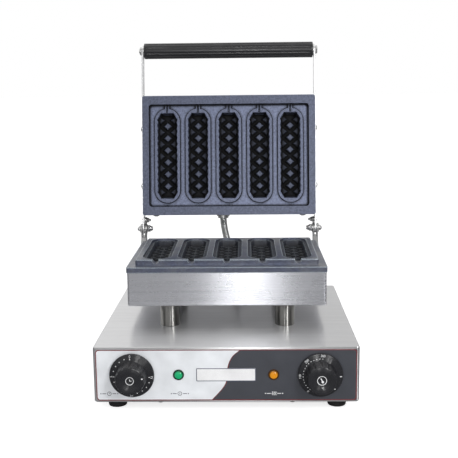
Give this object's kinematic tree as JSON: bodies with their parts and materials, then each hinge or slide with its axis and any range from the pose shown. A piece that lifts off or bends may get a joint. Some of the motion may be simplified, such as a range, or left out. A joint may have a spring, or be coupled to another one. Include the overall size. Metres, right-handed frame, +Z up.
{
  "type": "waffle stick maker",
  "caption": "Countertop waffle stick maker: hinged upper and lower cast plates with toothed stick moulds, arms with a cross handle, a raised lower casing on posts and a control base.",
  "frame": {"origin": "Centre of the overall bounding box, with the lid open at rest, on the surface that the rubber feet stand on.", "axes": "+X to the user's right along the control panel, +Y away from the user, +Z up. The control panel faces -Y, and the lid's hinge axis runs along X behind the plates."},
  "size_m": [0.3, 0.3395, 0.424],
  "materials": {
    "coated_aluminium": "satin non-stick coating",
    "brushed_sheet": "brushed sheet",
    "bright_steel": "bright plated",
    "plated_steel": "zinc plated",
    "dark_sheet": "grey paint",
    "black_plastic": "moulded, fine grain",
    "control_plastic": "moulded resin",
    "black_rubber": "moulded",
    "printed_film": "printed film",
    "plate_foil": "satin",
    "green_lens": "clear tinted",
    "amber_lens": "clear tinted",
    "heater_sheath": "heat-stained",
    "mineral_wool": "pressed fibre",
    "copper_tube": "drawn"
  },
  "bodies": {
    "machine": {"base_cover": "brushed_sheet", "base_floor": "dark_sheet", "rubber_feet": "black_rubber", "foot_screws": "plated_steel", "foot_nuts": "plated_steel", "floor_screws": "plated_steel", "support_posts": "brushed_sheet", "post_tie_tubes": "plated_steel", "post_nuts": "plated_steel", "lower_plate": "coated_aluminium", "lower_heater": "heater_sheath", "lower_heater_clamp": "plated_steel", "lower_clamp_nuts": "plated_steel", "lower_insulation": "mineral_wool", "lower_casing": "brushed_sheet", "lower_casing_screws": "plated_steel", "hinge_bracket_left": "dark_sheet", "hinge_bracket_right": "dark_sheet", "bracket_screws": "plated_steel", "bracket_nuts": "plated_steel", "pivot_bolts": "bright_steel", "pivot_washers": "plated_steel", "pivot_cap_nuts": "bright_steel", "control_overlay": "printed_film", "name_plate": "plate_foil", "timer_body": "control_plastic", "thermostat_body": "control_plastic", "control_bush_nuts": "plated_steel", "green_lamp_lens": "green_lens", "amber_lamp_lens": "amber_lens", "lamp_bodies": "black_plastic", "lamp_nuts": "black_plastic", "cable_gland": "black_plastic", "terminal_block": "control_plastic", "earth_stud": "copper_tube", "thermostat_capillary": "copper_tube", "conduit": "plated_steel", "conduit_gland_base": "bright_steel"},
    "lid": {"upper_plate": "coated_aluminium", "upper_heater": "heater_sheath", "upper_heater_clamp": "plated_steel", "upper_clamp_nuts": "plated_steel", "upper_insulation": "mineral_wool", "upper_casing": "brushed_sheet", "upper_casing_screws": "plated_steel", "lid_rear_screws": "plated_steel", "arm_left": "brushed_sheet", "arm_right": "brushed_sheet", "arm_screws": "plated_steel", "stop_bolts": "plated_steel", "stop_collar_nuts": "plated_steel", "handle_grip": "black_plastic", "handle_rod": "bright_steel", "handle_nut": "bright_steel", "handle_washers": "plated_steel", "conduit_gland_lid": "bright_steel"},
    "timer_dial": {"timer_shaft": "plated_steel", "timer_knob": "black_plastic"},
    "thermostat_dial": {"thermostat_shaft": "plated_steel", "thermostat_knob": "black_plastic"}
  },
  "joints": [
    {"name": "lid_hinge", "type": "hinge", "parent": "machine", "child": "lid", "pos_m": [0, 0.1072, 0.1678], "axis": [1, 0, 0], "range_deg": [0, 100.2], "deforming": ["conduit"]},
    {"name": "timer_turn", "type": "hinge", "parent": "machine", "child": "timer_dial", "pos_m": [-0.106, -0.1472, 0.0458], "axis": [0, 1, 0], "range_deg": [0, 262.5]},
    {"name": "thermostat_turn", "type": "hinge", "parent": "machine", "child": "thermostat_dial", "pos_m": [0.106, -0.1472, 0.0458], "axis": [0, 1, 0], "range_deg": [-98, 149]}
  ]
}
